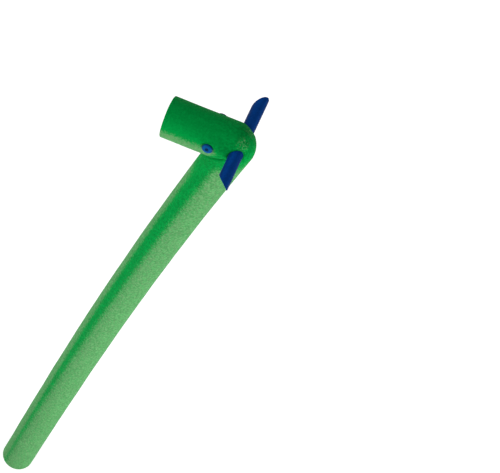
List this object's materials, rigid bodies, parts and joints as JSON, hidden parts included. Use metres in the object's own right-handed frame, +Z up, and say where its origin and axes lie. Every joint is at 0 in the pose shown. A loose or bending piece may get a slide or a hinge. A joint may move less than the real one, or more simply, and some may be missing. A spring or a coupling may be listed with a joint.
{
  "type": "pool noodle",
  "caption": "Foam pool noodle folded over at the top into a head, with a slanted cross bar as ears and a button eye on each side.",
  "frame": {"origin": "centre of the flat tail face that the noodle stands on", "axes": "+Z up along the noodle, from the tail to the fold; the snout points to -Y; +X towards the left ear and eye, along the ear bar"},
  "size_m": [0.195, 0.1561, 1.5141],
  "materials": {
    "green_foam": "matt, finely mottled closed-cell foam skin",
    "navy_foam": "matt closed-cell foam skin, cut cells on the slanted ends",
    "blue_plastic": "moulded plastic with a soft shine"
  },
  "bodies": {
    "noodle": {"foam_noodle": "green_foam", "left_eye": "blue_plastic", "right_eye": "blue_plastic"},
    "ears": {"ear_bar": "navy_foam"}
  },
  "joints": [
    {"name": "ear_turn", "type": "hinge", "parent": "noodle", "child": "ears", "pos_m": [0, 0.03867, 1.48926], "axis": [1, 0, 0], "continuous": true}
  ]
}
